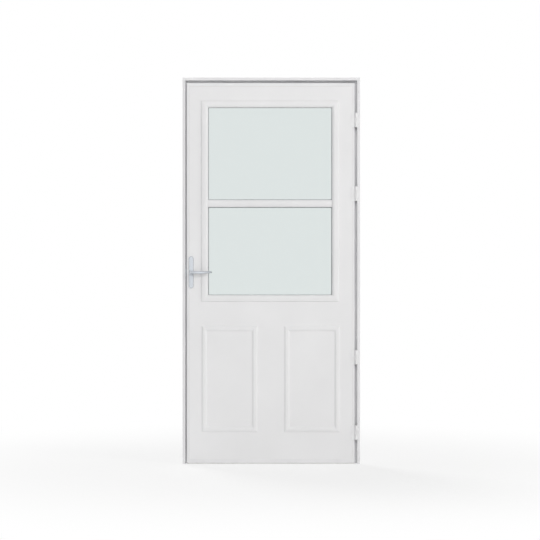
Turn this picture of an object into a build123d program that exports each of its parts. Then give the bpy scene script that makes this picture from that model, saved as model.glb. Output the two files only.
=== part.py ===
from build123d import *
import os

# Storm door in its own Z-bar frame, all sizes in millimetres.
# The origin is on the back face of the header flange, at its centre.
# +X points to the hinge side, -Y outdoors, +Z up.

os.makedirs("parts", exist_ok=True)

# Frame of Z-bars
frame_width = 952.0
frame_height = 2073.0
flange_width = 15.0
bar_metal = 1.6
flange_nose = 1.0
flange_crown = 2.4
latch_gap = 8.6
hinge_gap = 14.2
top_gap = 14.5
sill_clearance = 1.5
stop_overlap = 5.4
seal_space = 7.8
seal_clearance = 0.3
seal_base_play = 0.1
seal_lift = 8.0
lip_height = 1.6
lip_width = 1.0
groove_width = 4.2
seal_base = 1.0
brush_width = 2.6
screw_radius = 2.2
jamb_screws = 4
jamb_screw_inset = 60.0
header_screw_inset = 120.0

# Leaf of the door
leaf_thickness = 28.0
skin_sheet = 1.0
cap_web = 1.2
cap_leg = 12.0
top_cap_leg = 18.0
cap_groove = 0.3
expander_height = 21.0
expander_metal = 1.2
expander_play = 5.0
sweep_drop = 5.0
sweep_fin = 1.6
sweep_inset = 2.0
sweep_setback = 2.0

# Window in the upper half, measured from the leaf's edges to the clear opening
latch_stile_width = 113.5
hinge_stile_width = 120.7
top_rail_height = 131.0
lower_height = 905.3
cutout_margin = 20.0
cutout_play = 1.5
surround_width = 36.0
surround_rise = 8.0
spigot_depth = 4.0
retainer_width = 30.0
retainer_rise = 4.0
retainer_depth = 5.0
liner_metal = 2.8
liner_fin = 1.2
liner_fin_reach = 8.0
sash_depth = 7.0
sash_play = 0.6
sash_hide = 2.0
glass_thickness = 3.0
glass_bite = 6.0
gasket_show = 4.0
gasket_setback = 1.0
meeting_below_middle = 12.0
meeting_height = 37.0
meeting_proud = 6.0
meeting_side = 2.4
meeting_end_play = 0.4
interlock_lip = 1.2
interlock_play = 0.4
interlock_drop = 5.0
sash_pull_rise = 3.0
sash_pull_depth = 4.0

# Moulded panels in the lower half, measured to the middle of their beads
panel_margin = 92.5
panel_gap = 172.0
lock_rail_height = 179.8
panel_lift = 184.0
bead_width = 34.0
bead_rise = 5.0

# Hinges, two measured from the frame's top and two from its bottom
hinge_drops = (227.5, 623.5)
hinge_lifts = (572.5, 168.5)
hinge_height = 76.0
hinge_axis_offset = 6.4
hinge_plate = 1.8
hinge_corner = 2.5
knuckle_radius = 4.2
knuckle_count = 3
knuckle_space = 0.4
pin_radius = 2.0
pin_clearance = 0.05
pin_head = 2.0
pin_tail = 1.5
door_plate_reach = 28.0
jamb_plate_reach = 20.0
plate_notch = 0.8

# Latch and handles
lever_rise = 1027.5
lever_backset = 23.0
escutcheon_width = 24.0
escutcheon_height = 172.0
escutcheon_metal = 5.0
escutcheon_bevel = 1.6
hub_radius = 8.5
hub_start = 0.8
hub_length = 38.0
hub_clearance = 0.3
collar_radius = 10.5
collar_height = 3.2
collar_gap = 0.8
lever_reach = 108.0
lever_thickness = 10.0
lever_height = 15.0
lever_tip_height = 10.0
lever_tip_return = 6.0
lever_edge = 2.0
spindle_side = 8.0
spindle_clearance = 0.1
spindle_bite = 14.0
spindle_end_play = 0.4
spindle_hole_radius = 7.2
faceplate_metal = 1.2
faceplate_width = 20.0
faceplate_height = 128.0
bolt_width = 10.0
bolt_height = 18.0
bolt_play = 0.3
bolt_out = 2.8
bolt_bevel = 2.5
bolt_depth = 12.0
strike_metal = 0.8
strike_width = 24.0
strike_height = 70.0
strike_hole_width = 14.0
strike_hole_height = 28.0

# Levels worked out from the sizes above
frame_top = flange_width / 2
frame_bottom = frame_top - frame_height
frame_side = frame_width / 2
leaf_left = -frame_side + flange_width + latch_gap
leaf_right = frame_side - flange_width - hinge_gap
leaf_width = leaf_right - leaf_left
leaf_middle = (leaf_left + leaf_right) / 2
leaf_top = frame_top - flange_width - top_gap
leaf_bottom = frame_bottom + sill_clearance
leaf_front = -bar_metal
leaf_back = leaf_front + leaf_thickness
leaf_depth_middle = (leaf_front + leaf_back) / 2
core_front = leaf_front + skin_sheet
core_back = leaf_back - skin_sheet
stop_front = leaf_back + seal_space
stop_back = stop_front + bar_metal
expander_bottom = leaf_bottom + sweep_drop
expander_top = expander_bottom + expander_height
core_bottom = expander_bottom + expander_metal + expander_play
window_left = leaf_left + latch_stile_width
window_right = leaf_right - hinge_stile_width
window_width = window_right - window_left
window_across = (window_left + window_right) / 2
window_top = leaf_top - top_rail_height
window_bottom = leaf_bottom + lower_height
window_height = window_top - window_bottom
window_middle = (window_top + window_bottom) / 2
spigot_width = cutout_margin - cutout_play
liner_front = leaf_front + spigot_depth
liner_back = leaf_back - retainer_depth
track_middle = (liner_front + liner_back) / 2
upper_sash_front = liner_front + sash_play
lower_sash_front = liner_back - sash_play - sash_depth
sash_outer = cutout_margin - liner_metal - sash_play
meeting_middle = window_middle - meeting_below_middle
panel_width = (leaf_width - 2 * panel_margin - panel_gap) / 2
panel_top = window_bottom - lock_rail_height
panel_bottom = leaf_bottom + panel_lift
hinge_middles = [frame_top - drop for drop in hinge_drops] + [frame_bottom + lift for lift in hinge_lifts]
hinge_axis_x = leaf_right + hinge_axis_offset
hinge_axis_y = leaf_front - knuckle_radius
lever_x = leaf_left + lever_backset
lever_z = leaf_bottom + lever_rise
half_pocket_width = bolt_width / 2 + bolt_play
half_pocket_height = bolt_height / 2 + bolt_play
bolt_pocket_depth = (leaf_depth_middle - half_pocket_width, leaf_depth_middle + half_pocket_width)
bolt_pocket_height = (lever_z - half_pocket_height, lever_z + half_pocket_height)
strike_hole_depth = (leaf_depth_middle - strike_hole_width / 2, leaf_depth_middle + strike_hole_width / 2)
strike_hole_span = (lever_z - strike_hole_height / 2, lever_z + strike_hole_height / 2)


def block(x_span, y_span, z_span):
    """A box between two values on each axis."""
    size = [high - low for low, high in (x_span, y_span, z_span)]
    corner = [low for low, high in (x_span, y_span, z_span)]
    return Pos(*corner) * Box(*size, align=(Align.MIN, Align.MIN, Align.MIN))


def rod(axis, centre, radius, start, end):
    """A cylinder along one axis, from start to end."""
    turned = {"x": Rot(0, 90, 0), "y": Rot(-90, 0, 0), "z": Rot(0, 0, 0)}[axis]
    place = dict(zip("xyz", centre))
    place[axis] = start
    bar = Cylinder(radius, end - start, align=(Align.CENTER, Align.CENTER, Align.MIN))
    return Pos(place["x"], place["y"], place["z"]) * turned * bar


def outline_face(plane, steps):
    """A face on a plane: a plain step is a line to that point, a pair is an arc through the first point."""
    edges = []
    here = steps[0]
    for step in steps[1:] + steps[:1]:
        if isinstance(step[0], tuple):
            through, end = step
            edges.append(plane * ThreePointArc(here, through, end))
        else:
            end = step
            edges.append(plane * Line(here, end))
        here = end
    return make_face(edges)


def mitred_side(face, inner_length):
    """One side of a mitred frame, its face drawn as (depth, distance outwards), long at its inner edge."""
    low = face.bounding_box().min.Z
    high = face.bounding_box().max.Z
    if inner_length / 2 + low < 0:
        raise ValueError("the frame is too small for its moulding")
    bar = extrude(face, amount=inner_length / 2 + high + 1, both=True)
    corners = [
        (-inner_length / 2 - low, low),
        (inner_length / 2 + low, low),
        (inner_length / 2 + high, high),
        (-inner_length / 2 - high, high),
    ]
    wedge = extrude(outline_face(Plane.XZ, corners), amount=4 * leaf_thickness, both=True)
    return bar & wedge


def mitred_ring(face, width, height, middle_x, middle_z):
    """The four sides of a mitred frame round an opening, as a dictionary."""
    level = mitred_side(face, width)
    upright = mitred_side(face, height)
    return {
        "top": Pos(middle_x, 0, middle_z + height / 2) * level,
        "right": Pos(middle_x + width / 2, 0, middle_z) * Rot(0, 90, 0) * upright,
        "bottom": Pos(middle_x, 0, middle_z - height / 2) * Rot(0, 180, 0) * level,
        "left": Pos(middle_x - width / 2, 0, middle_z) * Rot(0, 270, 0) * upright,
    }


def save(name, *solids):
    """Writes one node."""
    shape = solids[0] if len(solids) == 1 else Compound(children=list(solids))
    export_step(shape, f"parts/{name}.step")


# Z-bar frame
def stop_with_groove(gap, start, end):
    """The back flange with the two lips that hold the brush seal, along Z on the latch side."""
    tip = flange_width + gap + stop_overlap
    wall = block((flange_width - bar_metal, tip), (stop_front, stop_back), (start, end))
    lip_depth = (stop_front - lip_height, stop_front)
    outer_lip = block((tip - lip_width, tip), lip_depth, (start, end))
    inner_end = tip - lip_width - groove_width
    inner_lip = block((inner_end - lip_width, inner_end), lip_depth, (start, end))
    return wall + outer_lip + inner_lip


def flange_with_holes(start, end, holes, crown=0.0):
    """The front flange: outer edge rounded, face rising towards the leaf, and its screw holes."""
    section = outline_face(
        Plane.XY,
        [(0, 0), (0, -bar_metal), (flange_width, -bar_metal - crown), (flange_width, 0)],
    )
    strip = Pos(0, 0, start) * extrude(section, amount=end - start)
    nose = strip.edges().filter_by(Axis.Z).sort_by(Axis.X)[0:2].sort_by(Axis.Y)[0]
    strip = fillet(nose, flange_nose)
    for height in holes:
        centre = ((flange_width - bar_metal) / 2, 0, height)
        strip -= rod("y", centre, screw_radius, -bar_metal - crown - 1, 1)
    return strip


def jamb_screw_heights():
    """Heights of the flange screws, evenly spaced down a jamb."""
    first = frame_top - flange_width - jamb_screw_inset
    last = frame_bottom + jamb_screw_inset
    pitch = (first - last) / (jamb_screws - 1)
    return [first - pitch * index for index in range(jamb_screws)]


def jamb(gap, crown=0.0):
    """An upright Z-bar in the latch side's position, measured from x = 0 at its outer edge."""
    top = frame_top - flange_width
    strip = flange_with_holes(frame_bottom, top, jamb_screw_heights(), crown)
    web = block((flange_width - bar_metal, flange_width), (-bar_metal, stop_back), (frame_bottom, top))
    return strip + web + stop_with_groove(gap, frame_bottom, top - top_gap - stop_overlap)


def header():
    """The level Z-bar over the door, its web and stop fitted between the jamb webs."""
    screws = (header_screw_inset, frame_width - header_screw_inset)
    strip = flange_with_holes(0, frame_width, screws, flange_crown)
    inside = (flange_width, frame_width - flange_width)
    web = block((flange_width - bar_metal, flange_width), (-bar_metal, stop_back), inside)
    bar = strip + web + stop_with_groove(top_gap, *inside)
    return across_the_top() * bar


def across_the_top():
    """Turns a piece drawn for the latch side so that it lies along the header."""
    return Plane(origin=(-frame_side, 0, frame_top), x_dir=(0, 0, -1), z_dir=(1, 0, 0)).location


def brush_seal(gap, start, end):
    """A pile seal that stands in the groove of a latch side stop."""
    tip = flange_width + gap + stop_overlap
    middle = tip - lip_width - groove_width / 2
    half_base = groove_width / 2 - seal_base_play
    half_brush = brush_width / 2
    base_front = stop_front - seal_base
    base = block((middle - half_base, middle + half_base), (base_front, stop_front), (start, end))
    brush_front = leaf_back + seal_clearance
    brush = block((middle - half_brush, middle + half_brush), (brush_front, base_front), (start, end))
    return base + brush


def build_frame():
    """Writes the three Z-bars and their seals."""
    latch = Pos(-frame_side, 0, 0) * jamb(latch_gap, flange_crown)
    hole = block((-frame_side, -frame_side + flange_width + 1), strike_hole_depth, strike_hole_span)
    save("latch_jamb", latch - hole)
    save("hinge_jamb", mirror(Pos(-frame_side, 0, 0) * jamb(hinge_gap), Plane.YZ))
    save("header", header())
    seal_span = (expander_top + seal_lift, leaf_top - stop_overlap)
    save("latch_side_seal", Pos(-frame_side, 0, 0) * brush_seal(latch_gap, *seal_span))
    save("hinge_side_seal", mirror(Pos(-frame_side, 0, 0) * brush_seal(hinge_gap, *seal_span), Plane.YZ))
    seal_start = flange_width + latch_gap + stop_overlap
    seal_end = frame_width - flange_width - hinge_gap - stop_overlap
    save("header_seal", across_the_top() * brush_seal(top_gap, seal_start, seal_end))


# Slab of the leaf
def cutout():
    """The hole for the window unit, through the whole slab."""
    return block(
        (window_left - cutout_margin, window_right + cutout_margin),
        (leaf_front - 1, leaf_back + 1),
        (window_bottom - cutout_margin, window_top + cutout_margin),
    )


def spindle_hole():
    """The round hole for the handle's spindle, through the whole slab."""
    return rod("y", (lever_x, 0, lever_z), spindle_hole_radius, leaf_front - 1, leaf_back + 1)


def build_core():
    """Writes the four wood blocks inside the skins."""
    left = leaf_left + cap_web
    right = leaf_right - cap_web
    top = leaf_top - cap_web
    cut_left = window_left - cutout_margin
    cut_right = window_right + cutout_margin
    cut_top = window_top + cutout_margin
    cut_bottom = window_bottom - cutout_margin
    depth = (core_front, core_back)
    save("top_rail", block((left, right), depth, (cut_top, top)))
    bolt_pocket = block((left - 1, left + bolt_depth), bolt_pocket_depth, bolt_pocket_height)
    latch_stile = block((left, cut_left), depth, (cut_bottom, cut_top))
    save("latch_stile", latch_stile - spindle_hole() - bolt_pocket)
    save("hinge_stile", block((cut_right, right), depth, (cut_bottom, cut_top)))
    save("lower_slab", block((left, right), depth, (core_bottom, cut_bottom)))


def bead_face(face_y, outward):
    """Cross-section of a panel moulding: a low round crest between two ogee sides."""
    half = bead_width / 2

    def at(rise, across):
        return (face_y + outward * bead_rise * rise, half * across)

    return outline_face(
        Plane.YZ,
        [
            at(0, -1),
            (at(0.16, -0.8), at(0.5, -0.62)),
            (at(0.86, -0.46), at(1, -0.3)),
            (at(1.04, 0), at(1, 0.3)),
            (at(0.86, 0.46), at(0.5, 0.62)),
            (at(0.16, 0.8), at(0, 1)),
        ],
    )


def moulded_skin(sheet_span, face_y, outward):
    """A sheet skin with the window cut-out and two moulded panels."""
    edge = cap_leg + cap_groove
    sheet = block(
        (leaf_left + edge, leaf_right - edge),
        sheet_span,
        (core_bottom, leaf_top - top_cap_leg - cap_groove),
    )
    sheet -= cutout()
    height = panel_top - panel_bottom
    for side in (-1, 1):
        middle_x = leaf_middle + side * (panel_gap + panel_width) / 2
        middle_z = (panel_top + panel_bottom) / 2
        ring = mitred_ring(bead_face(face_y, outward), panel_width, height, middle_x, middle_z)
        for piece in ring.values():
            sheet += piece
    if lever_backset > edge:
        sheet -= spindle_hole()
    return sheet


def edge_cap(leg, start, end):
    """A U-shaped cap along Z whose web is at x = 0, with its legs towards +X."""
    web = block((0, cap_web), (leaf_front, leaf_back), (start, end))
    front_leg = block((0, leg), (leaf_front, core_front), (start, end))
    back_leg = block((0, leg), (core_back, leaf_back), (start, end))
    return web + front_leg + back_leg


def build_skins_and_caps():
    """Writes both skins, the three edge caps, the bottom expander and its sweep."""
    save("exterior_skin", moulded_skin((leaf_front, core_front), leaf_front, -1))
    save("interior_skin", moulded_skin((core_back, leaf_back), leaf_back, 1))
    latch_cap = Pos(leaf_left, 0, 0) * edge_cap(cap_leg, core_bottom, leaf_top)
    slot = block((leaf_left - 1, leaf_left + cap_web + 1), bolt_pocket_depth, bolt_pocket_height)
    save("latch_edge_cap", latch_cap - slot)
    hinge_cap = Pos(-leaf_right, 0, 0) * edge_cap(cap_leg, core_bottom, leaf_top)
    save("hinge_edge_cap", mirror(hinge_cap, Plane.YZ))
    down = Plane(origin=(leaf_left, 0, leaf_top), x_dir=(0, 0, -1), z_dir=(1, 0, 0))
    top_cap = down.location * edge_cap(top_cap_leg, cap_leg, leaf_width - cap_leg)
    web_strip = block(
        (leaf_left + cap_web, leaf_right - cap_web),
        (core_front, core_back),
        (leaf_top - cap_web, leaf_top),
    )
    save("top_edge_cap", top_cap + web_strip)
    outer = block(
        (leaf_left, leaf_right),
        (leaf_front - expander_metal, leaf_back + expander_metal),
        (expander_bottom, expander_top),
    )
    hollow = block(
        (leaf_left - 1, leaf_right + 1),
        (leaf_front, leaf_back),
        (expander_bottom + expander_metal, expander_top + 1),
    )
    save("bottom_expander", outer - hollow)
    fins = []
    for middle in (leaf_front + sweep_setback, leaf_back - sweep_setback):
        fins.append(
            block(
                (leaf_left + sweep_inset, leaf_right - sweep_inset),
                (middle - sweep_fin / 2, middle + sweep_fin / 2),
                (leaf_bottom, expander_bottom),
            )
        )
    save("bottom_sweep", *fins)


# Window unit
def surround_face():
    """Cross-section of the outdoor window moulding: depth against distance from the clear opening."""
    inside = leaf_front + spigot_depth

    def at(rise, across):
        return (leaf_front - surround_rise * rise, surround_width * across)

    return outline_face(
        Plane.YZ,
        [
            (inside, 0),
            at(0.1, 0),
            (at(0.72, 0.16), at(1, 0.47)),
            (at(0.98, 0.67), at(0.84, 0.86)),
            (at(0.68, 0.96), at(0.4, 1)),
            at(0, 1),
            (leaf_front, spigot_width),
            (inside, spigot_width),
        ],
    )


def retainer_face():
    """Cross-section of the indoor window retainer."""
    crest = leaf_back + retainer_rise
    inside = leaf_back - retainer_depth
    bevel = retainer_rise / 4
    return outline_face(
        Plane.YZ,
        [
            (inside, 0),
            (crest - bevel, 0),
            (crest, bevel),
            (crest, retainer_width - retainer_rise),
            (crest - retainer_rise / 2, retainer_width),
            (leaf_back, retainer_width),
            (leaf_back, spigot_width),
            (inside, spigot_width),
        ],
    )


def liner_face():
    """Cross-section of the track liner: an outer wall with a fin between the two tracks."""
    wall = cutout_margin - liner_metal
    fin_front = track_middle - liner_fin / 2
    fin_back = track_middle + liner_fin / 2
    return outline_face(
        Plane.YZ,
        [
            (liner_front, cutout_margin),
            (liner_front, wall),
            (fin_front, wall),
            (fin_front, wall - liner_fin_reach),
            (fin_back, wall - liner_fin_reach),
            (fin_back, wall),
            (liner_back, wall),
            (liner_back, cutout_margin),
        ],
    )


def build_sash(name, front, low, high, top_height, bottom_height):
    """Writes the stiles and glass of one sash, and returns its plain rails and its gasket."""
    inner_left = window_left - sash_hide
    inner_right = window_right + sash_hide
    outer_left = window_left - sash_outer
    outer_right = window_right + sash_outer
    depth = (front, front + sash_depth)
    glass_front = front + (sash_depth - glass_thickness) / 2
    pane = block(
        (inner_left - glass_bite, inner_right + glass_bite),
        (glass_front, glass_front + glass_thickness),
        (low + bottom_height - glass_bite, high - top_height + glass_bite),
    )
    save(f"{name}_glass", pane)
    left_stile = block((outer_left, inner_left), depth, (low, high)) - pane
    right_stile = block((inner_right, outer_right), depth, (low, high)) - pane
    save(f"{name}_sash_stiles", left_stile, right_stile)
    top_rail = block((inner_left, inner_right), depth, (high - top_height, high)) - pane
    bottom_rail = block((inner_left, inner_right), depth, (low, low + bottom_height)) - pane
    bead = block(
        (inner_left, inner_right),
        (front + gasket_setback, front + sash_depth - gasket_setback),
        (low + bottom_height, high - top_height),
    )
    side_show = gasket_show + sash_hide
    daylight = block(
        (inner_left + side_show, inner_right - side_show),
        depth,
        (low + bottom_height + gasket_show, high - top_height - gasket_show),
    )
    return top_rail, bottom_rail, bead - daylight - pane


def meeting_rail_face():
    """The rounded outdoor face of the rail where the two sashes meet."""
    half = meeting_height / 2
    front = upper_sash_front
    profile = outline_face(
        Plane.YZ,
        [
            (front, -half),
            (front - meeting_side, -half),
            ((front - meeting_proud, 0), (front - meeting_side, half)),
            (front, half),
        ],
    )
    half_length = window_width / 2 - meeting_end_play
    return Pos(window_across, 0, meeting_middle) * extrude(profile, amount=half_length, both=True)


def interlock_lips(top):
    """The lips of the upper and the lower sash that hook behind each other where they meet."""
    across = (window_left, window_right)
    upper_back = upper_sash_front + sash_depth
    upper_top = top - interlock_drop
    upper_lip = block(
        across,
        (upper_back, lower_sash_front - interlock_play),
        (upper_top - interlock_lip, upper_top),
    )
    lower_bottom = upper_top + interlock_play
    lower_lip = block(
        across,
        (upper_back + interlock_play, lower_sash_front),
        (lower_bottom, lower_bottom + interlock_lip),
    )
    return upper_lip, lower_lip


def sash_pull(top):
    """The grip along the indoor side of the lower sash's top rail."""
    back = lower_sash_front + sash_depth
    return block((window_left, window_right), (back, back + sash_pull_depth), (top - sash_pull_rise, top))


def build_window():
    """Writes the surround, retainers, liners and both sashes."""
    opening = (window_width, window_height, window_across, window_middle)
    for side, piece in mitred_ring(surround_face(), *opening).items():
        save(f"surround_{side}", piece)
    retainer = mitred_ring(retainer_face(), *opening)
    save("retainer_uprights", retainer["left"], retainer["right"])
    save("retainer_top", retainer["top"])
    save("retainer_bottom", retainer["bottom"])
    liner = mitred_ring(liner_face(), *opening)
    save("track_liner_uprights", liner["left"], liner["right"])
    save("track_liner_head", liner["top"])
    save("track_liner_sill", liner["bottom"])
    rail = sash_outer - sash_hide
    high = window_top + sash_outer
    low = window_bottom - sash_outer
    meeting_low = meeting_middle - meeting_height / 2
    meeting_high = meeting_middle + meeting_height / 2
    upper_top, upper_bottom, upper_gasket = build_sash(
        "upper", upper_sash_front, meeting_low, high, rail, meeting_height
    )
    save("upper_sash_top_rail", upper_top)
    upper_lip, lower_lip = interlock_lips(meeting_high)
    save("meeting_rail", upper_bottom + meeting_rail_face() + upper_lip)
    lower_top, lower_bottom, lower_gasket = build_sash(
        "lower", lower_sash_front, low, meeting_high, meeting_height, rail
    )
    save("lower_sash_top_rail", lower_top + lower_lip + sash_pull(meeting_high))
    save("lower_sash_bottom_rail", lower_bottom)
    save("glass_gaskets", upper_gasket, lower_gasket)


# Hinges
def knuckle_row(first, reach_start, reach_end, low):
    """One hinge leaf: a plate with clipped outer corners and every second knuckle, from the one given."""
    pitch = hinge_height / knuckle_count
    depth = (leaf_front - hinge_plate, leaf_front)
    plate = block((reach_start, reach_end), depth, (low, low + hinge_height))
    on_left = reach_end < hinge_axis_x
    corners = plate.edges().filter_by(Axis.Y).sort_by(Axis.X)
    plate = chamfer(corners[0:2] if on_left else corners[-2:], hinge_corner)
    inner = reach_end if on_left else reach_start
    for index in range(first, knuckle_count, 2):
        start = low + pitch * index + knuckle_space / 2
        end = low + pitch * (index + 1) - knuckle_space / 2
        plate += rod("z", (hinge_axis_x, hinge_axis_y, 0), knuckle_radius, start, end)
        plate += block(sorted((inner, hinge_axis_x)), depth, (start, end))
    bore = pin_radius + pin_clearance
    return plate - rod("z", (hinge_axis_x, hinge_axis_y, 0), bore, low - 1, low + hinge_height + 1)


def hinge_pin(low):
    """A pin with a flat round head that rests on the top knuckle."""
    centre = (hinge_axis_x, hinge_axis_y, 0)
    top = low + hinge_height - knuckle_space / 2
    shank = rod("z", centre, pin_radius, low - pin_tail, top)
    return shank + rod("z", centre, knuckle_radius, top, top + pin_head)


def build_hinges():
    """Writes the door leaves, jamb leaves and pins of all the hinges."""
    clear = knuckle_radius + plate_notch
    door_leaves = []
    jamb_leaves = []
    pins = []
    for middle in hinge_middles:
        low = middle - hinge_height / 2
        door_leaves.append(knuckle_row(1, hinge_axis_x - door_plate_reach, hinge_axis_x - clear, low))
        jamb_leaves.append(knuckle_row(0, hinge_axis_x + clear, hinge_axis_x + jamb_plate_reach, low))
        pins.append(hinge_pin(low))
    save("door_hinge_leaves", *door_leaves)
    save("jamb_hinge_leaves", *jamb_leaves)
    save("hinge_pins", *pins)


# Latch and handles
def escutcheon(face_y, outward):
    """A slim plate with rounded ends and a bevelled front edge, drilled for the hub."""
    outline = Rot(0, 0, 90) * SlotOverall(escutcheon_height, escutcheon_width)
    plate = extrude(Plane.XZ * outline, amount=escutcheon_metal)
    plate = chamfer(plate.faces().sort_by(Axis.Y)[0].edges(), escutcheon_bevel)
    if outward > 0:
        plate = mirror(plate, Plane.XZ)
    bore = rod("y", (0, 0, 0), hub_radius + hub_clearance, -2 * escutcheon_metal, 2 * escutcheon_metal)
    return Pos(lever_x, face_y, lever_z) * (plate - bore)


def lever_arm():
    """The arm: a tapered outline seen from outdoors, cut to a curve that returns to the door at its tip."""
    root = lever_height / 2
    tip = lever_tip_height / 2
    front_view = outline_face(
        Plane.XZ,
        [
            (0, -root),
            ((lever_reach * 0.45, -root * 1.1), (lever_reach - tip, -tip)),
            ((lever_reach, 0), (lever_reach - tip, tip)),
            ((lever_reach * 0.45, root * 0.72), (0, root)),
        ],
    )
    near = -hub_length + lever_thickness / 2
    far = near - lever_thickness
    bow = lever_thickness / 4
    top_view = outline_face(
        Plane.XY,
        [
            (-hub_radius, near),
            (0, near),
            ((lever_reach / 2, near - bow), (lever_reach + 1, near + lever_tip_return)),
            (lever_reach + 1, far + 2 * lever_tip_return),
            ((lever_reach / 2, far - bow / 2), (0, far)),
            (-hub_radius, far),
        ],
    )
    seen_from_front = extrude(front_view, amount=2 * hub_length, both=True)
    seen_from_above = extrude(top_view, amount=lever_height, both=True)
    return seen_from_front & seen_from_above


def lever(face_y, outward):
    """A hub with its arm turned towards the hinge side, measured outwards from a face."""
    hub_end = -hub_length - lever_thickness / 2
    hub = rod("y", (0, 0, 0), hub_radius, hub_end, -hub_start)
    hub = chamfer(hub.edges().filter_by(GeomType.CIRCLE).sort_by(Axis.Y)[0], lever_edge)
    collar_back = -escutcheon_metal - collar_gap
    collar = rod("y", (0, 0, 0), collar_radius, collar_back - collar_height, collar_back)
    arm = lever_arm()
    long_edges = [edge for edge in arm.edges() if edge.length > lever_reach * 0.6]
    arm = chamfer(long_edges, lever_edge)
    whole = hub + collar + arm
    socket = spindle_side / 2 + spindle_clearance
    whole -= block((-socket, socket), (-spindle_bite, 0), (-socket, socket))
    if outward > 0:
        whole = mirror(whole, Plane.XZ)
    return Pos(lever_x, face_y, lever_z) * whole


def build_latch():
    """Writes both handles, their plates, the spindle, the bolt and the strike."""
    save("outer_escutcheon", escutcheon(leaf_front, -1))
    save("inner_escutcheon", escutcheon(leaf_back, 1))
    save("outer_lever", lever(leaf_front, -1))
    save("inner_lever", lever(leaf_back, 1))
    half = spindle_side / 2
    reach = spindle_bite - spindle_end_play
    spindle_depth = (leaf_front - reach, leaf_back + reach)
    save("spindle", block((lever_x - half, lever_x + half), spindle_depth, (lever_z - half, lever_z + half)))
    middle = leaf_depth_middle
    plate = block(
        (leaf_left - faceplate_metal, leaf_left),
        (middle - faceplate_width / 2, middle + faceplate_width / 2),
        (lever_z - faceplate_height / 2, lever_z + faceplate_height / 2),
    )
    slot = block((leaf_left - faceplate_metal - 1, leaf_left + 1), bolt_pocket_depth, bolt_pocket_height)
    save("latch_faceplate", plate - slot)
    bolt = block(
        (leaf_left - bolt_out, leaf_left + cap_web + bolt_depth),
        (middle - bolt_width / 2, middle + bolt_width / 2),
        (lever_z - bolt_height / 2, lever_z + bolt_height / 2),
    )
    slope = bolt.edges().filter_by(Axis.Z).sort_by(Axis.X)[0:2].sort_by(Axis.Y)[-1]
    save("latch_bolt", chamfer(slope, bolt_bevel))
    face = -frame_side + flange_width
    strike = block(
        (face, face + strike_metal),
        (middle - strike_width / 2, middle + strike_width / 2),
        (lever_z - strike_height / 2, lever_z + strike_height / 2),
    )
    hole = block((face - 1, face + strike_metal + 1), strike_hole_depth, strike_hole_span)
    save("strike_plate", strike - hole)


build_frame()
build_core()
build_skins_and_caps()
build_window()
build_hinges()
build_latch()
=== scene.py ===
import math

import bpy
import mathutils
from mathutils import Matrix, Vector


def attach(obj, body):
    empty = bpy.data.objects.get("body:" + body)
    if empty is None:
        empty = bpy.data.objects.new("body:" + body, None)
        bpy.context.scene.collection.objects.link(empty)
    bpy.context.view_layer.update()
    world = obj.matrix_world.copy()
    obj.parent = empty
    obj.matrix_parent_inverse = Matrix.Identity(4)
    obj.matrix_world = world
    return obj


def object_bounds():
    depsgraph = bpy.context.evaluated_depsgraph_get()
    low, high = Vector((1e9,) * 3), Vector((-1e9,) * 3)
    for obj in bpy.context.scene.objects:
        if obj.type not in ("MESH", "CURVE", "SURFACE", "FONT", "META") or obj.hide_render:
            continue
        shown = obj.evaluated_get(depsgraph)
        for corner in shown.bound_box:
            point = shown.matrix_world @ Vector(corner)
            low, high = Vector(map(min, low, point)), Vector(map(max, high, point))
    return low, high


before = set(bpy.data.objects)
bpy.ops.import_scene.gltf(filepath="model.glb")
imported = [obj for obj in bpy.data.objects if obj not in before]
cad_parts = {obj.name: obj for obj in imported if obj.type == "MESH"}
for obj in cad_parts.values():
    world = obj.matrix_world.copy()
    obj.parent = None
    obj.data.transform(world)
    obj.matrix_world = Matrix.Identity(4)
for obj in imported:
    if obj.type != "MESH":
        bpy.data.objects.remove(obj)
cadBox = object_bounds()
print("stage: frame loaded,", len(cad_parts), "nodes")


# turns an sRGB hex value to linear light by the standard's own curve, with full alpha
def linearColour(hexValue):
    parts = [int(hexValue[i:i + 2], 16) / 255 for i in (1, 3, 5)]
    return [p / 12.92 if p <= 0.04045 else ((p + 0.055) / 1.055) ** 2.4 for p in parts] + [1.0]


# adds a node, gives it its settings, and fills or links its inputs
def addNode(tree, kind, inputs=None, **settings):
    node = tree.nodes.new(kind)
    for name, value in settings.items():
        setattr(node, name, value)
    for name, value in (inputs or {}).items():
        if isinstance(value, bpy.types.NodeSocket):
            tree.links.new(value, node.inputs[name])
        else:
            node.inputs[name].default_value = value
    return node


# a material with plain values on its shader's sockets, an underscore standing for a space
def newMaterial(name, **shaderValues):
    material = bpy.data.materials.new(name)
    material.use_nodes = True
    tree = material.node_tree
    shader = tree.nodes["Principled BSDF"]
    for socket, value in shaderValues.items():
        shader.inputs[socket.replace("_", " ")].default_value = value
    return material, tree, shader


# sizes of patterns are written in millimetres, a texture's scale counts repeats per metre
def perMetre(millimetres):
    return 1000.0 / millimetres


# baked polyester enamel: smooth, satin, with a faint orange peel from spraying
enamel = {
    "ior": 1.5, "cloudDetail": 3.0, "darkAt": 0.3, "lightAt": 0.7,
    "peelDetail": 2.0, "peelHeight": 0.0002,    # metres
}


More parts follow.
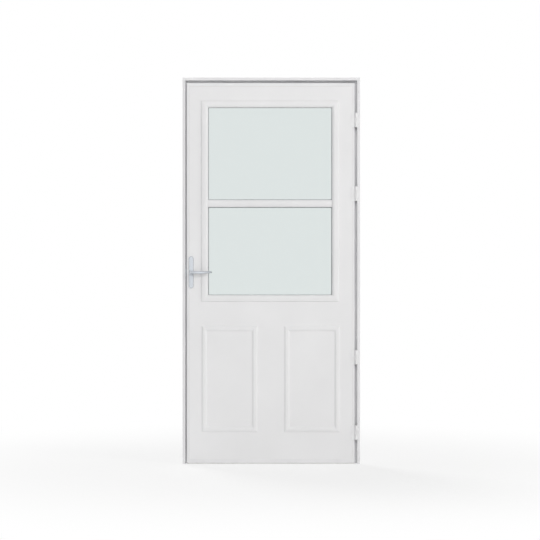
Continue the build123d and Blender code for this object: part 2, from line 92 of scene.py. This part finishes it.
def whiteEnamel(name, settings):
    material, tree, shader = newMaterial(name, Roughness=settings["roughness"], IOR=enamel["ior"])
    place = addNode(tree, "ShaderNodeTexCoord").outputs["Object"]
    clouds = addNode(tree, "ShaderNodeTexNoise", {
        "Vector": place, "Scale": perMetre(settings["cloudSize"]), "Detail": enamel["cloudDetail"]})
    tone = addNode(tree, "ShaderNodeValToRGB", {"Fac": clouds.outputs["Fac"]})
    dark, light = tone.color_ramp.elements
    dark.position = enamel["darkAt"]
    dark.color = linearColour(settings["darkTone"])
    light.position = enamel["lightAt"]
    light.color = linearColour(settings["lightTone"])
    tree.links.new(tone.outputs["Color"], shader.inputs["Base Color"])
    peel = addNode(tree, "ShaderNodeTexNoise", {
        "Vector": place, "Scale": perMetre(settings["peelSize"]), "Detail": enamel["peelDetail"]})
    bump = addNode(tree, "ShaderNodeBump", {
        "Height": peel.outputs["Fac"], "Strength": settings["peelStrength"],
        "Distance": enamel["peelHeight"]})
    tree.links.new(bump.outputs["Normal"], shader.inputs["Normal"])
    return material


# on the wide aluminium skins the enamel looks a little duller than on the narrow bars
doorPaint = whiteEnamel("white_enamel_on_skin", {
    "lightTone": "#f0f0f1", "darkTone": "#ececed", "roughness": 0.5,
    "cloudSize": 300, "peelSize": 2.5, "peelStrength": 0.08})
framePaint = whiteEnamel("white_enamel_on_extrusion", {
    "lightTone": "#efeff0", "darkTone": "#e8e8ea", "roughness": 0.46,
    "cloudSize": 180, "peelSize": 1.8, "peelStrength": 0.06})
# on the steel of the hinges it is glossier, and shows its clouds closer together
hingePaint = whiteEnamel("white_enamel_on_steel", {
    "lightTone": "#efeff0", "darkTone": "#e7e7e8", "roughness": 0.42,
    "cloudSize": 25, "peelSize": 1.2, "peelStrength": 0.1})


# float glass, 3 mm: clear, with a trace of haze where it was wiped; its tint is the faint green of its
# iron, made deeper as painted shade so that the white seen through the glass reads as a shaded surface
glass = {"ironTintAndShade": "#dce3e2", "ior": 1.5, "wipeSize": 140, "wipeDetail": 4.0, "mostHaze": 0.04}


def floatGlass():
    material, tree, shader = newMaterial(
        "float_glass", Base_Color=linearColour(glass["ironTintAndShade"]), IOR=glass["ior"], Transmission_Weight=1.0)
    place = addNode(tree, "ShaderNodeTexCoord").outputs["Object"]
    wiped = addNode(tree, "ShaderNodeTexNoise", {
        "Vector": place, "Scale": perMetre(glass["wipeSize"]), "Detail": glass["wipeDetail"]})
    haze = addNode(tree, "ShaderNodeMapRange", {
        "Value": wiped.outputs["Fac"], "To Min": 0.0, "To Max": glass["mostHaze"]})
    tree.links.new(haze.outputs["Result"], shader.inputs["Roughness"])
    return material


# extruded flexible vinyl: dull, its tone a little uneven from dust and weather
vinyl = {"ior": 1.45}


def flexibleVinyl(name, settings):
    material, tree, shader = newMaterial(name, Roughness=settings["roughness"], IOR=vinyl["ior"])
    place = addNode(tree, "ShaderNodeTexCoord").outputs["Object"]
    dust = addNode(tree, "ShaderNodeTexNoise", {
        "Vector": place, "Scale": perMetre(settings["dustSize"]), "Detail": settings["dustDetail"]})
    tone = addNode(tree, "ShaderNodeValToRGB", {"Fac": dust.outputs["Fac"]})
    dark, light = tone.color_ramp.elements
    dark.color = linearColour(settings["darkTone"])
    light.color = linearColour(settings["lightTone"])
    tree.links.new(tone.outputs["Color"], shader.inputs["Base Color"])
    return material


# the glazing gasket is matte, its grey partly the vinyl's own and partly painted shade for the dark gap
# round the glass; the sweep white and slightly yellowed
gasketVinylAndShade = flexibleVinyl("grey_vinyl_and_painted_shade", {
    "darkTone": "#a2a6a9", "lightTone": "#babec0", "roughness": 0.7, "dustSize": 8, "dustDetail": 4.0})
sweepVinyl = flexibleVinyl("white_vinyl", {
    "darkTone": "#d5d5d1", "lightTone": "#ececea", "roughness": 0.6, "dustSize": 30, "dustDetail": 5.0})


# woven polypropylene pile: no shine, a soft edge, rough with tufts under a millimetre wide; its pale tone
# is partly the pile's own grey and partly painted light that lifts the shaded gaps round the leaf
pileWeave = {
    "darkTone": "#d6d7d8", "lightTone": "#efeff0", "roughness": 0.9, "sheen": 0.3,
    "tuftSize": 0.8, "tuftDetail": 2.0, "tuftStrength": 0.6, "tuftHeight": 0.0008,
}


def brushPile():
    s = pileWeave
    material, tree, shader = newMaterial(
        "polypropylene_pile", Roughness=s["roughness"], Sheen_Weight=s["sheen"])
    place = addNode(tree, "ShaderNodeTexCoord").outputs["Object"]
    tufts = addNode(tree, "ShaderNodeTexNoise", {
        "Vector": place, "Scale": perMetre(s["tuftSize"]), "Detail": s["tuftDetail"]})
    tone = addNode(tree, "ShaderNodeValToRGB", {"Fac": tufts.outputs["Fac"]})
    dark, light = tone.color_ramp.elements
    dark.color = linearColour(s["darkTone"])
    light.color = linearColour(s["lightTone"])
    tree.links.new(tone.outputs["Color"], shader.inputs["Base Color"])
    bump = addNode(tree, "ShaderNodeBump", {
        "Height": tufts.outputs["Fac"], "Strength": s["tuftStrength"], "Distance": s["tuftHeight"]})
    tree.links.new(bump.outputs["Normal"], shader.inputs["Normal"])
    return material


# satin nickel plate: cool grey metal, its polish left in fine level lines
# real lines are too fine to show in the render, and are drawn as coarse as they need to
nickelPolish = {
    "darkTone": "#9ca0a5", "lightTone": "#b7bbc0", "roughness": 0.42,
    "lineSize": 0.6, "lineStretch": (0.04, 1.0, 1.0), "lineDetail": 3.0,
    "lineStrength": 0.15, "lineDepth": 0.0001,
}


def satinNickel():
    s = nickelPolish
    material, tree, shader = newMaterial("satin_nickel", Metallic=1.0, Roughness=s["roughness"])
    place = addNode(tree, "ShaderNodeTexCoord").outputs["Object"]
    stretched = addNode(tree, "ShaderNodeMapping", {"Vector": place, "Scale": s["lineStretch"]})
    lines = addNode(tree, "ShaderNodeTexNoise", {
        "Vector": stretched.outputs["Vector"], "Scale": perMetre(s["lineSize"]), "Detail": s["lineDetail"]})
    tone = addNode(tree, "ShaderNodeValToRGB", {"Fac": lines.outputs["Fac"]})
    dark, light = tone.color_ramp.elements
    dark.color = linearColour(s["darkTone"])
    light.color = linearColour(s["lightTone"])
    tree.links.new(tone.outputs["Color"], shader.inputs["Base Color"])
    bump = addNode(tree, "ShaderNodeBump", {
        "Height": lines.outputs["Fac"], "Strength": s["lineStrength"], "Distance": s["lineDepth"]})
    tree.links.new(bump.outputs["Normal"], shader.inputs["Normal"])
    return material


# zinc plated steel: bluish grey, slightly blotchy
zincPlate = {"darkTone": "#a8adb2", "lightTone": "#c3c8cc", "roughness": 0.4, "spangleSize": 3}


def zincSteel():
    s = zincPlate
    material, tree, shader = newMaterial("zinc_plated_steel", Metallic=1.0, Roughness=s["roughness"])
    place = addNode(tree, "ShaderNodeTexCoord").outputs["Object"]
    spangle = addNode(tree, "ShaderNodeTexVoronoi", {"Vector": place, "Scale": perMetre(s["spangleSize"])})
    tone = addNode(tree, "ShaderNodeValToRGB", {"Fac": spangle.outputs["Distance"]})
    dark, light = tone.color_ramp.elements
    dark.color = linearColour(s["darkTone"])
    light.color = linearColour(s["lightTone"])
    tree.links.new(tone.outputs["Color"], shader.inputs["Base Color"])
    return material


# softwood blocks of the core, planed and unpainted: matte, with upright grain
softwood = {
    "darkTone": "#b78f61", "lightTone": "#d9b98c", "roughness": 0.75,
    "grainSize": 12, "grainStretch": (1.0, 1.0, 0.06), "grainDetail": 6.0,
}


def coreWood():
    s = softwood
    material, tree, shader = newMaterial("planed_softwood", Roughness=s["roughness"])
    place = addNode(tree, "ShaderNodeTexCoord").outputs["Object"]
    upright = addNode(tree, "ShaderNodeMapping", {"Vector": place, "Scale": s["grainStretch"]})
    grain = addNode(tree, "ShaderNodeTexNoise", {
        "Vector": upright.outputs["Vector"], "Scale": perMetre(s["grainSize"]), "Detail": s["grainDetail"]})
    tone = addNode(tree, "ShaderNodeValToRGB", {"Fac": grain.outputs["Fac"]})
    dark, light = tone.color_ramp.elements
    dark.color = linearColour(s["darkTone"])
    light.color = linearColour(s["lightTone"])
    tree.links.new(tone.outputs["Color"], shader.inputs["Base Color"])
    return material


clearGlass = floatGlass()
pile = brushPile()
nickel = satinNickel()
zinc = zincSteel()
wood = coreWood()

finishOf = {
    doorPaint: ["exterior_skin", "interior_skin",
                "surround_top", "surround_right", "surround_bottom", "surround_left",
                "retainer_uprights", "retainer_top", "retainer_bottom"],
    framePaint: ["header", "hinge_jamb", "latch_jamb",
                 "latch_edge_cap", "hinge_edge_cap", "top_edge_cap", "bottom_expander",
                 "track_liner_uprights", "track_liner_head", "track_liner_sill",
                 "upper_sash_stiles", "upper_sash_top_rail", "meeting_rail",
                 "lower_sash_stiles", "lower_sash_top_rail", "lower_sash_bottom_rail"],
    hingePaint: ["door_hinge_leaves", "jamb_hinge_leaves", "hinge_pins"],
    clearGlass: ["upper_glass", "lower_glass"],
    gasketVinylAndShade: ["glass_gaskets"],
    sweepVinyl: ["bottom_sweep"],
    pile: ["header_seal", "hinge_side_seal", "latch_side_seal"],
    nickel: ["outer_escutcheon", "inner_escutcheon", "outer_lever", "inner_lever"],
    zinc: ["strike_plate", "latch_faceplate", "latch_bolt", "spindle"],
    wood: ["top_rail", "latch_stile", "hinge_stile", "lower_slab"],
}
for material, names in finishOf.items():
    for name in names:
        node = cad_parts[name]
        node.data.materials.clear()
        node.data.materials.append(material)
print("stage: finishes on the frame's nodes")


# shared by all the screws, whose own sizes and places below are in metres
screwWork = {
    "looksAlong": 0.9,          # a face looks along an axis when this share of its normal does
    "crossTurns": (0, 90),      # the two bars of a cross recess
    "headSmooth": 28, "setScrewSmooth": 30,    # edges sharper than this many degrees stay crisp
    # each dome step is an inset, as a share of the radius, and a rise, as a share of the dome
    "highDome": [(0.08, 0.45), (0.3, 0.4), (0.3, 0.15)],
    "lowDome": [(0.1, 0.5), (0.35, 0.4), (0.25, 0.1)],
    "leverX": -0.4294, "leverZ": -1.0365,      # the axis of the levers
}

# turns about Z that bring a head's face from -Y round to each side
facing = {"outdoors": 0, "indoors": 180, "hingeSide": 90, "latchSide": -90}


# a pan head with a cross recess, seat at the origin and face towards -Y, on a short shank
def panHead(settings):
    bpy.ops.object.select_all(action="DESELECT")
    radius, rim, dome = settings["radius"], settings["rim"], settings["dome"]
    bpy.ops.mesh.primitive_cylinder_add(
        vertices=settings["sides"], radius=radius, depth=rim,
        location=(0, -rim / 2, 0), rotation=(math.radians(90), 0, 0))
    head = bpy.context.object
    bpy.ops.object.transform_apply(location=True, rotation=True, scale=True)
    for face in head.data.polygons:
        face.select = face.normal.y < -screwWork["looksAlong"]
    bpy.ops.object.mode_set(mode="EDIT")
    bpy.ops.mesh.select_mode(type="FACE")
    for inward, rise in settings["domeSteps"]:
        bpy.ops.mesh.inset(thickness=radius * inward)
        bpy.ops.transform.translate(value=(0, -dome * rise, 0))
    bpy.ops.object.mode_set(mode="OBJECT")
    for turn in screwWork["crossTurns"]:
        # the cutter's middle is on the head's top, so that half of it is in the air
        bpy.ops.mesh.primitive_cube_add(
            size=1, location=(0, -rim - dome, 0), rotation=(0, math.radians(turn), 0),
            scale=(settings["recessLength"], settings["recessDepth"] * 2, settings["recessWidth"]))
        cutter = bpy.context.object
        cut = head.modifiers.new("recess", "BOOLEAN")
        cut.operation = "DIFFERENCE"
        cut.object = cutter
        bpy.ops.object.select_all(action="DESELECT")
        head.select_set(True)
        bpy.context.view_layer.objects.active = head
        bpy.ops.object.modifier_apply(modifier=cut.name)
        bpy.data.objects.remove(cutter, do_unlink=True)
    bpy.ops.mesh.primitive_cylinder_add(
        vertices=settings["sides"], radius=settings["shankRadius"], depth=settings["shankLength"],
        location=(0, settings["shankLength"] / 2, 0), rotation=(math.radians(90), 0, 0))
    head.select_set(True)
    bpy.context.view_layer.objects.active = head
    bpy.ops.object.join()
    bpy.ops.object.shade_smooth_by_angle(angle=math.radians(screwWork["headSmooth"]))
    return head


# copies a pattern screw with its own mesh, turned by angles in degrees and set at a place
def placeScrew(pattern, name, place, angles, material, body):
    screw = pattern.copy()
    screw.data = pattern.data.copy()
    bpy.context.collection.objects.link(screw)
    screw.name = name
    screw.data.name = name
    screw.rotation_euler = [math.radians(angle) for angle in angles]
    screw.location = place
    bpy.ops.object.select_all(action="DESELECT")
    screw.select_set(True)
    bpy.context.view_layer.objects.active = screw
    bpy.ops.object.transform_apply(location=True, rotation=True, scale=True)
    screw.data.materials.clear()
    screw.data.materials.append(material)
    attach(screw, body)


# how far a screw's recess is turned: no two in a row are driven to the same angle
def recessTurn(row, number):
    return row["first"] + number * row["step"]


# No. 8 pan-head screws through the frame's flanges and the bottom expander
flangeScrews = {
    "radius": 0.0037, "rim": 0.0009, "dome": 0.0014, "sides": 20,
    "domeSteps": screwWork["highDome"],
    "recessLength": 0.0038, "recessWidth": 0.0009, "recessDepth": 0.0012,
    "shankRadius": 0.0019, "shankLength": 0.0014,
    "jambX": 0.4693, "jambHeights": (-0.0675, -0.7135, -1.3595, -2.0055),
    "headerX": 0.356, "headerZ": 0.0008,
    "hingeFace": -0.0016, "latchFace": -0.0027,
    "slope": -9.1,              # degrees that the latch-side and header flanges slope to the leaf
    "expanderX": (-0.36, -0.003, 0.354), "expanderZ": -2.0452,
    "expanderFront": -0.0028, "expanderBack": 0.0276,
    "latchTurns": {"first": 17, "step": 31}, "hingeTurns": {"first": 57, "step": 31},
    "frontTurns": {"first": 25, "step": 40}, "backTurns": {"first": 60, "step": 25},
}


def buildFlangeScrews():
    s = flangeScrews
    pattern = panHead(s)
    for number, height in enumerate(s["jambHeights"]):
        placeScrew(pattern, f"latch_flange_screw_{number}", (-s["jambX"], s["latchFace"], height),
                   (0, recessTurn(s["latchTurns"], number), s["slope"]),
                   framePaint, "frame")
        placeScrew(pattern, f"hinge_flange_screw_{number}", (s["jambX"], s["hingeFace"], height),
                   (0, recessTurn(s["hingeTurns"], number), facing["outdoors"]),
                   framePaint, "frame")
    for number, side in enumerate((-1, 1)):
        placeScrew(pattern, f"header_screw_{number}",
                   (side * s["headerX"], s["latchFace"], s["headerZ"]),
                   (s["slope"], 0, facing["outdoors"]), framePaint, "frame")
    for number, across in enumerate(s["expanderX"]):
        placeScrew(pattern, f"expander_screw_outdoors_{number}",
                   (across, s["expanderFront"], s["expanderZ"]),
                   (0, recessTurn(s["frontTurns"], number), facing["outdoors"]),
                   framePaint, "leaf")
        placeScrew(pattern, f"expander_screw_indoors_{number}",
                   (across, s["expanderBack"], s["expanderZ"]),
                   (0, recessTurn(s["backTurns"], number), facing["indoors"]),
                   framePaint, "leaf")
    bpy.data.objects.remove(pattern, do_unlink=True)


# smaller, flatter heads in the hinge plates, three to a plate, the middle one nearer the knuckles
hingeScrews = {
    "radius": 0.0031, "rim": 0.0003, "dome": 0.0007, "sides": 18,
    "domeSteps": screwWork["lowDome"],
    "recessLength": 0.0034, "recessWidth": 0.0008, "recessDepth": 0.0006,
    "shankRadius": 0.0016, "shankLength": 0.0012,
    "middles": (-0.220, -0.616, -1.493, -1.897), "spread": 0.0265, "face": -0.0034,
    "doorX": 0.4345, "doorShift": 0.0055, "jambX": 0.4674, "jambShift": 0.002,
    "doorTurns": (29, 47), "jambTurns": (53, 19),    # degrees more for each hinge and each screw
}


def buildHingeScrews():
    s = hingeScrews
    pattern = panHead(s)
    for hinge, middle in enumerate(s["middles"]):
        for number, step in enumerate((-1, 0, 1)):
            nearer = 1 if step == 0 else 0
            height = middle + step * s["spread"]
            doorTurn = hinge * s["doorTurns"][0] + number * s["doorTurns"][1]
            placeScrew(pattern, f"door_hinge_screw_{hinge}_{number}",
                       (s["doorX"] + nearer * s["doorShift"], s["face"], height),
                       (0, doorTurn, facing["outdoors"]), hingePaint, "leaf")
            jambTurn = hinge * s["jambTurns"][0] + number * s["jambTurns"][1]
            placeScrew(pattern, f"jamb_hinge_screw_{hinge}_{number}",
                       (s["jambX"] - nearer * s["jambShift"], s["face"], height),
                       (0, jambTurn, facing["outdoors"]), hingePaint, "frame")
    bpy.data.objects.remove(pattern, do_unlink=True)


# plated machine screws: indoor plate, strike and faceplate
plateScrews = {
    "radius": 0.0029, "rim": 0.0004, "dome": 0.0008, "sides": 18,
    "domeSteps": screwWork["lowDome"],
    "recessLength": 0.0034, "recessWidth": 0.0008, "recessDepth": 0.0007,
    "shankRadius": 0.0016, "shankLength": 0.001,
    "indoorFace": 0.0314, "indoorSpread": 0.066,
    "depth": 0.0124, "strikeFace": -0.4602, "strikeSpread": 0.026,
    "faceplateFace": -0.4536, "faceplateSpread": 0.056,
    "indoorTurns": {"first": 20, "step": 35}, "strikeTurn": 45, "faceplateTurn": 10,
}


def buildPlateScrews():
    s = plateScrews
    leverZ = screwWork["leverZ"]
    pattern = panHead(s)
    for number, side in enumerate((-1, 1)):
        placeScrew(pattern, f"inner_escutcheon_screw_{number}",
                   (screwWork["leverX"], s["indoorFace"], leverZ + side * s["indoorSpread"]),
                   (0, recessTurn(s["indoorTurns"], number), facing["indoors"]),
                   nickel, "leaf")
        placeScrew(pattern, f"strike_screw_{number}",
                   (s["strikeFace"], s["depth"], leverZ + side * s["strikeSpread"]),
                   (0, s["strikeTurn"], facing["hingeSide"]), zinc, "frame")
        placeScrew(pattern, f"faceplate_screw_{number}",
                   (s["faceplateFace"], s["depth"], leverZ + side * s["faceplateSpread"]),
                   (0, s["faceplateTurn"], facing["latchSide"]), zinc, "leaf")
    bpy.data.objects.remove(pattern, do_unlink=True)


# white screws that hold the indoor retainer, their places as shares of its width and height
retainerScrews = {
    "radius": 0.0034, "rim": 0.0006, "dome": 0.0012, "sides": 20,
    "domeSteps": screwWork["highDome"],
    "recessLength": 0.0038, "recessWidth": 0.0009, "recessDepth": 0.001,
    "shankRadius": 0.0019, "shankLength": 0.003,
    "face": 0.0304, "left": -0.3545, "right": 0.3417, "top": -0.1374, "bottom": -1.1743,
    "levelPlaces": (0.12, 0.5, 0.88), "uprightPlaces": (0.06, 0.35, 0.65, 0.94),
    "turns": {"first": 0, "step": 37},
}


def buildRetainerScrews():
    s = retainerScrews
    pattern = panHead(s)
    places = []
    for share in s["levelPlaces"]:
        across = s["left"] + (s["right"] - s["left"]) * share
        places += [(across, s["top"]), (across, s["bottom"])]
    for share in s["uprightPlaces"]:
        height = s["bottom"] + (s["top"] - s["bottom"]) * share
        places += [(s["left"], height), (s["right"], height)]
    for number, (across, height) in enumerate(places):
        placeScrew(pattern, f"retainer_screw_{number}", (across, s["face"], height),
                   (0, recessTurn(s["turns"], number), facing["indoors"]),
                   framePaint, "leaf")
    bpy.data.objects.remove(pattern, do_unlink=True)


# a socket set screw in the underside of each lever's hub
setScrews = {
    "radius": 0.0021, "depth": 0.0008, "sides": 16,
    "socketRadius": 0.0011, "socketDepth": 0.8,    # the depth as a share of the screw's
    "under": 0.0085,                               # how far it is under the lever's axis
    "outdoorY": -0.0236, "indoorY": 0.0484,
}


def buildSetScrews():
    s = setScrews
    height = screwWork["leverZ"] - s["under"]
    for name, depth in (("outer_set_screw", s["outdoorY"]), ("inner_set_screw", s["indoorY"])):
        bpy.ops.object.select_all(action="DESELECT")
        bpy.ops.mesh.primitive_cylinder_add(
            vertices=s["sides"], radius=s["radius"], depth=s["depth"],
            location=(screwWork["leverX"], depth, height))
        screw = bpy.context.object
        bpy.ops.object.transform_apply(location=True, rotation=True, scale=True)
        for face in screw.data.polygons:
            face.select = face.normal.z < -screwWork["looksAlong"]
        bpy.ops.object.mode_set(mode="EDIT")
        bpy.ops.mesh.select_mode(type="FACE")
        bpy.ops.mesh.inset(thickness=s["radius"] - s["socketRadius"])
        bpy.ops.mesh.extrude_region_move(
            TRANSFORM_OT_translate={"value": (0, 0, s["depth"] * s["socketDepth"])})
        bpy.ops.object.mode_set(mode="OBJECT")
        bpy.ops.object.shade_smooth_by_angle(angle=math.radians(screwWork["setScrewSmooth"]))
        screw.name = name
        screw.data.materials.append(zinc)
        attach(screw, "lever")


buildFlangeScrews()
buildHingeScrews()
buildPlateScrews()
buildRetainerScrews()
buildSetScrews()
print("stage: screws")


# a pale studio: a floor that fades to white, an even world and four soft lamps
# the key lamp grazes the door from the right, so that its upright beads show
studio = {
    "floorRadius": 40.0, "floorSides": 64, "floorGap": 0.0005,
    "floorTone": "#f0f0f0", "floorRoughness": 0.95,
    "nearLift": 0.7, "fadeFrom": 0.6, "fadeTo": 2.6,    # how white, and metres from the origin
    "ambient": 0.37, "ambientTone": "#fbfbfa", "white": "#ffffff",
    # where each stands from the middle of the door, and its power in watts
    "lamps": [
        {"name": "keyLamp", "at": (10.0, -6.9, 4.6), "size": 5.0, "power": 455.0, "tone": "#fffdfa"},
        {"name": "frontLamp", "at": (0.0, -16.0, 5.6), "size": 5.4, "power": 610.0, "tone": "#fefeff"},
        {"name": "lowLamp", "at": (0.6, -7.0, -0.72), "size": 0.5, "power": 20.0, "tone": "#fefeff"},
        {"name": "rearLamp", "at": (-5.0, 8.0, 4.6), "size": 4.0, "power": 560.0, "tone": "#ffffff"},
    ],
}
boxMiddle = [(low + high) / 2 for low, high in zip(*cadBox)]


# one where the eye, a reflection or the view through glass meets the surface
def seenDirectly(tree):
    path = addNode(tree, "ShaderNodeLightPath").outputs
    plain = addNode(tree, "ShaderNodeMath", {
        0: path["Is Camera Ray"], 1: path["Is Glossy Ray"]}, operation="MAXIMUM")
    whole = addNode(tree, "ShaderNodeMath", {
        0: plain.outputs[0], 1: path["Is Transmission Ray"]}, operation="MAXIMUM")
    return whole.outputs[0]


# matte paper that fades to plain white away from the object, for the eye only
def studioPaper():
    material, tree, shader = newMaterial(
        "studio_paper", Base_Color=linearColour(studio["floorTone"]), Roughness=studio["floorRoughness"])
    place = addNode(tree, "ShaderNodeTexCoord").outputs["Object"]
    reach = addNode(tree, "ShaderNodeVectorMath", {0: place}, operation="LENGTH")
    fade = addNode(tree, "ShaderNodeMapRange", {
        "Value": reach.outputs["Value"], "From Min": studio["fadeFrom"], "From Max": studio["fadeTo"],
        "To Min": studio["nearLift"], "To Max": 1.0}, interpolation_type="SMOOTHSTEP")
    share = addNode(tree, "ShaderNodeMath", {
        0: fade.outputs["Result"], 1: seenDirectly(tree)}, operation="MULTIPLY")
    glow = addNode(tree, "ShaderNodeEmission", {"Color": linearColour(studio["white"]), "Strength": 1.0})
    mix = addNode(tree, "ShaderNodeMixShader", {
        0: share.outputs[0], 1: shader.outputs["BSDF"], 2: glow.outputs["Emission"]})
    tree.links.new(mix.outputs["Shader"], tree.nodes["Material Output"].inputs["Surface"])
    return material


def buildFloor():
    floorHeight = cadBox[0][2] - studio["floorGap"]
    bpy.ops.object.select_all(action="DESELECT")
    bpy.ops.mesh.primitive_circle_add(
        vertices=studio["floorSides"], radius=studio["floorRadius"], fill_type="NGON",
        location=(0, 0, floorHeight))
    floor = bpy.context.object
    floor.name = "studioFloor"
    floor.data.materials.append(studioPaper())


# an even world that lights the object, and is plain white to the eye
def buildWorld():
    world = bpy.data.worlds.new("studioWorld")
    bpy.context.scene.world = world
    world.use_nodes = True
    tree = world.node_tree
    tree.nodes.clear()
    light = addNode(tree, "ShaderNodeBackground", {
        "Color": linearColour(studio["ambientTone"]), "Strength": studio["ambient"]})
    white = addNode(tree, "ShaderNodeBackground", {"Color": linearColour(studio["white"]), "Strength": 1.0})
    mix = addNode(tree, "ShaderNodeMixShader", {
        0: seenDirectly(tree), 1: light.outputs[0], 2: white.outputs[0]})
    addNode(tree, "ShaderNodeOutputWorld", {"Surface": mix.outputs[0]})


def buildLamps():
    middle = mathutils.Vector(boxMiddle)
    for lamp in studio["lamps"]:
        spot = middle + mathutils.Vector(lamp["at"])
        towardsDoor = (middle - spot).to_track_quat("-Z", "Y").to_euler()
        bpy.ops.object.light_add(type="AREA", location=spot, rotation=towardsDoor)
        light = bpy.context.object
        light.name = lamp["name"]
        light.data.energy = lamp["power"]
        light.data.size = lamp["size"]
        light.data.color = linearColour(lamp["tone"])[:3]


buildFloor()
buildWorld()
buildLamps()
print("stage: studio")


# the photograph's view: square on, from far off, the door's middle near the middle of the picture
view = {
    "distance": 9.0, "sensor": 36.0, "picturePixels": 540,
    "frameWidth": 0.952, "framePixelsWide": 177.4,    # the real frame, and in the photograph
    "middlePixel": (271.3, 270.8),                    # the frame's middle in the photograph
}


def buildCamera():
    metresPerPixel = view["frameWidth"] / view["framePixelsWide"]
    half = view["picturePixels"] / 2
    bpy.ops.object.camera_add(
        location=(-(view["middlePixel"][0] - half) * metresPerPixel,
                  -view["distance"],
                  boxMiddle[2] + (view["middlePixel"][1] - half) * metresPerPixel),
        rotation=(math.radians(90), 0, 0))
    camera = bpy.context.object
    camera.data.sensor_width = view["sensor"]
    camera.data.lens = view["sensor"] * view["distance"] / (metresPerPixel * view["picturePixels"])
    bpy.context.scene.camera = camera


buildCamera()
bpy.context.scene.view_settings.view_transform = "Standard"
print("stage: camera")
